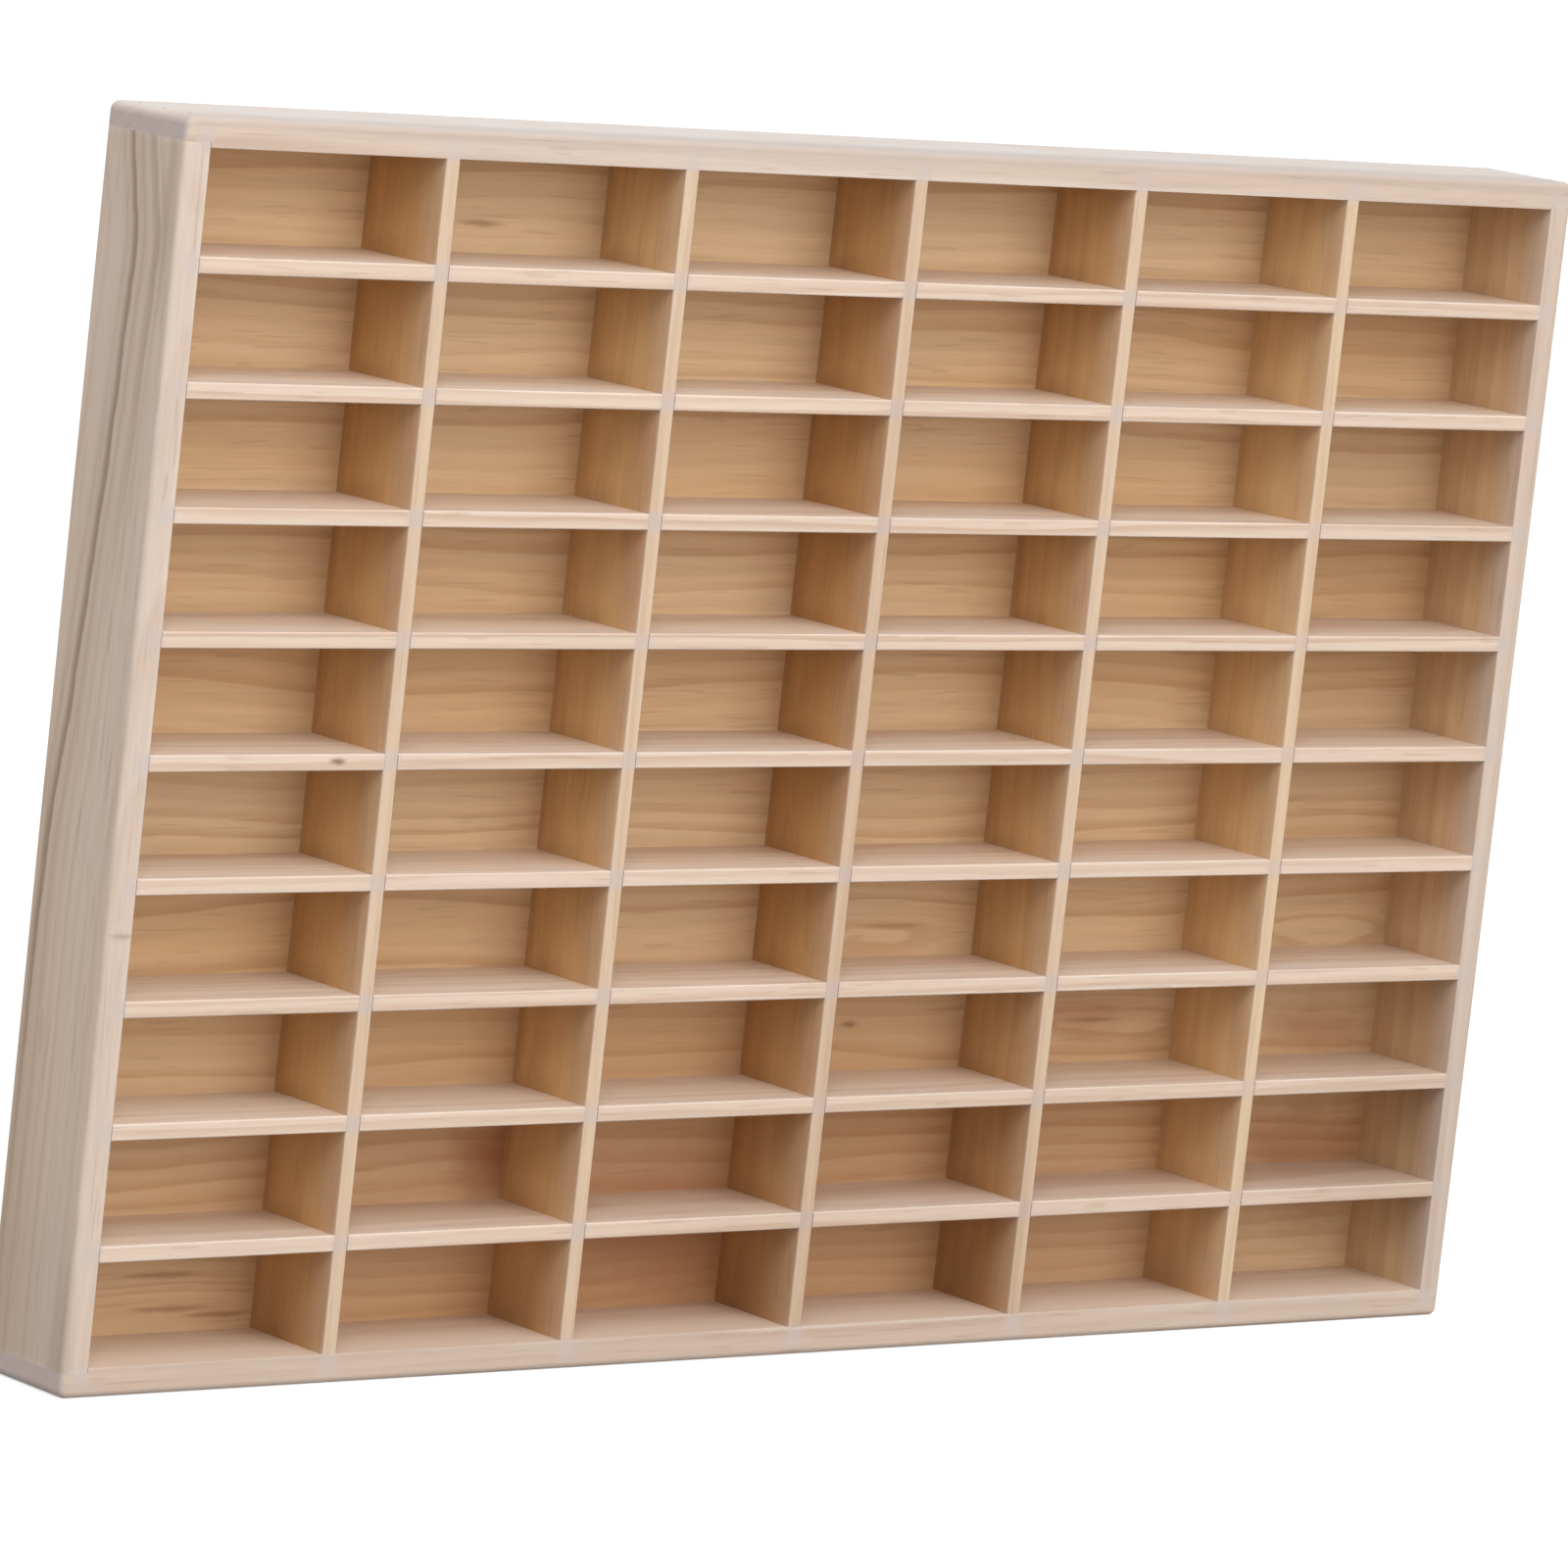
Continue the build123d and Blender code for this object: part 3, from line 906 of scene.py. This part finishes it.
def studio_lamps():
    """The two soft lamps, both turned to the middle of the case."""
    for name, (turned, up, away, wide, power) in LAMPS.items():
        lamp = bpy.data.lights.new(name, "AREA")
        lamp.energy = power
        lamp.size = wide
        rig = bpy.data.objects.new(name, lamp)
        rig.rotation_euler = Euler((math.radians(90 - up), 0, math.radians(turned)))
        out = rig.rotation_euler.to_matrix() @ Vector((0, 0, away))
        rig.location = Vector((0, 0, TOP / 2)) + out
        bpy.context.scene.collection.objects.link(rig)


def photo_camera():
    """The photograph's camera: a long lens a little to the left and above."""
    lens = bpy.data.cameras.new("photo_camera")
    lens.sensor_width = 36.0
    lens.lens = CAMERA_LENS
    camera = bpy.data.objects.new("photo_camera", lens)
    camera.location = CAMERA_PLACE
    camera.rotation_euler = Euler([math.radians(angle) for angle in CAMERA_TURN])
    bpy.context.scene.collection.objects.link(camera)
    bpy.context.scene.camera = camera
    bpy.context.scene.view_settings.view_transform = "Standard"


CUT_ROW = make_cut_row()
BRAD_ROW = make_brad_row()
PINE = make_pine(make_growth_rings(), make_fibres(), make_sanding(), make_dust_and_sheen())
PATCH = make_patch()
COMPARTMENTS = make_compartments()

# Woods of this case. Marks and swells give centre and size in millimetres.

FRAME_LOOK = {
    "relief": 0.18 * MM, "spacing": 4.5 * MM, "contrast": 0.6, "rub": 0.5, "reach": 2 * MM,
    "early": shade(227, 207, 189), "late": shade(216, 192, 172), "warm": shade(248, 236, 222),
    "front": shade(221, 201, 186), "planed": 0.5, "dust": 0.9, "dust_colour": shade(214, 210, 208),
    "grime": 0.3, "inside": shade(255, 246, 220),
}
DUST_AND_SHEEN_WITHIN = 0.3
SIDE_LOOK = FRAME_LOOK | {"contrast": 0.32}

# Painted shade, greyer along the front rim of the top
TOP_RIM_SHADE = [
    ((186, 174, 168), 0.5, (0, -15, 378), (900, 11, 6), 0.3),
    ((168, 150, 140), 0.4, (0, -20, 378), (900, 5, 3.4), 0.3),
]

# A small mark in the front edge, paler and darker wood above, and painted shade over the foot, darker
# still at its front corner
LEFT_MARKS = [
    ((160, 128, 108), 0.5, (-274.2, -20, 138), (6, 4, 1.6), 0.8),
    ((226, 206, 194), 0.4, (-279.5, 12, 325), (6, 13, 75), 0.5),
    ((166, 140, 118), 0.35, (-279.5, -14, 352), (5, 5, 42), 0.7),
    # Painted shade over the foot
    ((150, 134, 122), 0.2, (-279.5, 5, 10), (6, 40, 90), 0.4),
    ((138, 114, 92), 0.3, (-279.5, -17, 8), (6, 9, 50), 0.4),
]

# Painted shade: a darker lower end of the front edge, and a darker inner face near the front and the
# foot
RIGHT_SIDE_SHADE = [
    ((180, 160, 146), 0.22, (276, -19, 30), (9, 8, 130), 0.4),
    ((120, 82, 54), 0.16, (270.5, -12, 190), (3, 9, 900), 0.3),
    ((120, 82, 54), 0.24, (270.5, -8, 55), (3, 24, 90), 0.4),
]

# The knot in the front edge of the fifth shelf, and painted shade low down, most at the right
SHELF_MARKS = [
    ((104, 66, 48), 0.75, (-201.8, -20, 189.3), (4.5, 5, 1.6), 0.9),
    # Painted shade low down
    ((156, 122, 96), 0.3, (250, -6, 52), (80, 50, 60), 0.4),
    ((166, 136, 110), 0.14, (60, -14, 60), (300, 16, 60), 0.4),
]

# The third divider darker, the fifth paler, and painted shade on all of them low down and near the
# front
DIVIDER_MARKS = [
    ((150, 100, 60), 0.14, (0, 4, 190), (8, 60, 450), 0.3),
    ((238, 206, 160), 0.35, (182, 4, 190), (8, 60, 450), 0.3),
    # Painted shade low down and near the front
    ((150, 100, 60), 0.26, (0, 0, 25), (8, 38, 95), 0.6),
    ((146, 94, 54), 0.5, (91, 4, 10), (8, 42, 150), 0.6),
    ((116, 72, 38), 0.4, (0, 2, 12), (700, 26, 22), 0.3),
    ((120, 78, 46), 0.14, (0, -13, 190), (900, 8.5, 900), 0.3),
    ((110, 70, 40), 0.3, (45, -12, 50), (52, 10, 85), 0.4),
]

PANEL_MARKS = [
    # Warmer and darker towards the foot: partly warmer wood, partly painted shade
    ((176, 117, 68), 0.5, (0, 17, 25), (360, 3.2, 140), 0.5),
    # A streak in the top row
    ((150, 96, 56), 0.6, (-140.7, 17, 346.4), (13, 2.5, 1.8), 0.9),
    # Redder, darker patches in the lowest three rows
    ((156, 86, 50), 0.7, (-91, 17, 57), (33, 2.5, 22), 1.1),
    ((160, 94, 58), 0.56, (-30, 17, 32), (66, 2.5, 42), 0.9),
    ((166, 104, 62), 0.4, (136, 17, 98), (44, 2.5, 15), 0.9),
    ((164, 102, 60), 0.5, (244, 17, 90), (36, 2.5, 15), 0.9),
    ((158, 98, 60), 0.68, (244, 17, 46), (52, 2.5, 34), 0.9),
    # Streaks in the lower rows and one small knot
    ((130, 76, 38), 0.55, (-215, 17, 16.0), (21, 2.5, 1.9), 1.1),
    ((130, 76, 38), 0.55, (-197, 17, 13.6), (19, 2.5, 1.6), 1.1),
    ((142, 90, 50), 0.5, (-219, 17, 26.6), (22, 2.5, 1.8), 1.1),
    ((116, 66, 36), 0.6, (40.5, 17, 96.8), (5.0, 2.5, 1.7), 0.9),
    ((138, 86, 52), 0.5, (144, 17, 95.8), (17, 2.5, 1.3), 0.9),
    ((168, 108, 58), 0.4, (54, 17, 128.2), (20, 2.5, 1.8), 0.9),
    # Darker up the right side
    ((150, 104, 62), 0.22, (244, 17, 190), (60, 3.0, 280), 0.5),
]

# Where the panel's rings close into ovals
PANEL_SWELLS = [
    (2.0, (50, 17, 128), (80, 20, 11), 0.5),
    (2.0, (236, 17, 126), (70, 20, 10), 0.5),
    (2.5, (150, 17, 98), (90, 20, 12), 0.5),
    (2.0, (-215, 17, 18), (80, 20, 10), 0.5),
]


def woods():
    """Every wood of the case by the board that it is for."""
    return {
        "end": wood("frame_wood_bare", marks=TOP_RIM_SHADE, **FRAME_LOOK),
        "left": wood("frame_wood_left", marks=LEFT_MARKS, lines=make_heart_line(), waver=0.7,
                     **SIDE_LOOK),
        "right": wood("frame_wood_right", marks=RIGHT_SIDE_SHADE, **SIDE_LOOK),
        "shelf": wood("shelf_wood_bare", marks=SHELF_MARKS, relief=0.15 * MM, spacing=3.6 * MM,
                      contrast=0.5, rub=0.5, reach=0.8 * MM, early=shade(239, 217, 192),
                      late=shade(218, 190, 162), warm=shade(250, 234, 218),
                      front=shade(235, 212, 193), planed=0.8, dust=0.35, grime=0.1),
        "divider": wood("divider_wood_bare", marks=DIVIDER_MARKS, relief=0.15 * MM,
                        spacing=5 * MM, contrast=0.19, waver=1.8, rub=0.5, reach=0.8 * MM,
                        early=shade(223, 186, 136), late=shade(206, 170, 134),
                        warm=shade(248, 228, 202), front=shade(230, 205, 180), planed=0.8,
                        dust=0.3, grime=0.45),
        "panel": wood("panel_wood_bare", marks=PANEL_MARKS, swells=PANEL_SWELLS,
                      relief=0.12 * MM, spacing=6 * MM, waver=2.2, contrast=0.42, rub=0.2,
                      reach=0.6 * MM, early=shade(230, 200, 160), late=shade(204, 170, 130),
                      warm=shade(250, 231, 206), front=shade(230, 200, 160), planed=0.0,
                      dust=0.0, grime=0.25),
    }


# How warm each divider is, from left to right
DIVIDER_TONES = (0.75, 0.25, 1.0, 0.85, 0.0)

# Where the pith lies from the middle of the two boards whose grain shows most
LEFT_PITH = (-55 * MM, 6 * MM)
PANEL_PITH = (320 * MM, -50 * MM)

chance = random.Random(7)


def cut_of(tone=None, pith=None):
    """How one more board happens to have been cut from the tree."""
    side = chance.choice((-1, 1))
    place = (chance.uniform(-30 * MM, 30 * MM), side * chance.uniform(15 * MM, 60 * MM))
    start, shown = chance.uniform(0, 40), chance.random()
    return {"pith": pith or place, "start": start, "tone": shown if tone is None else tone}


WOOD = woods()
end_board("frame_top", "top_board", TOP, INNER_CEILING, TOP_CORNER_ROUND, WOOD["end"],
          **cut_of(0.2))
end_board("frame_bottom", "bottom_board", 0.0, INNER_FLOOR, FOOT_CORNER_ROUND, WOOD["end"],
          **cut_of(1.0))
side_board("frame_left", "left_side_board", -1, WOOD["left"], **cut_of(0.1, LEFT_PITH))
side_board("frame_right", "right_side_board", 1, WOOD["right"], **cut_of(0.35))
back_board("back_sheet", "back_panel", WOOD["panel"], **cut_of(pith=PANEL_PITH))
for number in range(1, SHELVES + 1):
    grid_board(f"shelf_board_{number}", f"shelf_{number}", X, DIVIDER_PLACES, DIVIDER_PITCH, True,
               WOOD["shelf"], **cut_of())
for number, tone in enumerate(DIVIDER_TONES, 1):
    grid_board(f"divider_board_{number}", f"divider_{number}", Z, SHELF_LEVELS, SHELF_PITCH, False,
               WOOD["divider"], **cut_of(tone))
all_brads(brad_steel())
studio_floor()
studio_room()
studio_lamps()
photo_camera()
